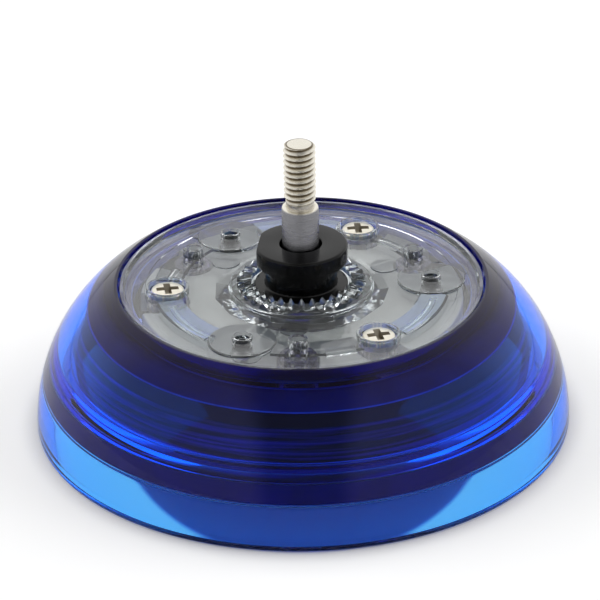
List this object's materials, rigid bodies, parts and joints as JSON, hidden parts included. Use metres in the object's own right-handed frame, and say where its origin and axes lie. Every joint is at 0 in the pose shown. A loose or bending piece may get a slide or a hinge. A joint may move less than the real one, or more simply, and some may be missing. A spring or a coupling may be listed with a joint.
{
  "type": "light-up yo-yo half",
  "caption": "Half of a take-apart light-up yo-yo: flared translucent blue shell, clear toothed inner plate, light module inside, and a black string spool that turns on a threaded steel axle.",
  "frame": {"origin": "centre of the rim that the half rests on, at the outer face", "axes": "+Z along the axle, away from the outer face; +X towards the first light port"},
  "size_m": [0.07, 0.07, 0.0389],
  "materials": {
    "shell_blue": "polished translucent blue",
    "cap_blue": "polished translucent blue",
    "clear_plate": "polished clear",
    "screw_nickel": "nickel plated",
    "axle_steel": "turned",
    "hub_black": "satin",
    "washer_steel": "zinc plated",
    "nut_steel": "zinc plated",
    "spool_black": "semi-gloss",
    "base_black": "satin",
    "cover_grey": "satin",
    "board_green": "solder mask",
    "led_clear": "clear lens",
    "battery_steel": "nickel plated",
    "clip_nickel": "nickel plated",
    "chip_black": "moulded",
    "resistor_dark": "moulded",
    "guide_white": "moulded",
    "switch_brass": "turned"
  },
  "bodies": {
    "half_body": {"shell": "shell_blue", "face_cap": "cap_blue", "inner_plate": "clear_plate", "plate_screw_1": "screw_nickel", "plate_screw_2": "screw_nickel", "plate_screw_3": "screw_nickel", "axle": "axle_steel", "axle_hub": "hub_black", "axle_washer": "washer_steel", "axle_nut": "nut_steel", "module_base": "base_black", "module_cover": "cover_grey", "circuit_board": "board_green", "led_1": "led_clear", "led_2": "led_clear", "led_3": "led_clear", "battery_1": "battery_steel", "battery_2": "battery_steel", "battery_3": "battery_steel", "battery_clip_1": "clip_nickel", "battery_clip_2": "clip_nickel", "battery_clip_3": "clip_nickel", "driver_chip": "chip_black", "resistor": "resistor_dark", "switch_guide": "guide_white", "switch_contact": "switch_brass"},
    "string_spool": {"spool": "spool_black"},
    "switch_slider": {"switch_weight": "switch_brass"}
  },
  "joints": [
    {"name": "spool_spin", "type": "hinge", "parent": "half_body", "child": "string_spool", "pos_m": [0, 0, 0.02105], "axis": [0, 0, 1], "continuous": true},
    {"name": "switch_slide", "type": "slide", "parent": "half_body", "child": "switch_slider", "axis": [-0.9692, 0.2462, 0], "range_m": [0, 0.001], "stiffness_N_per_m": 1.5}
  ]
}
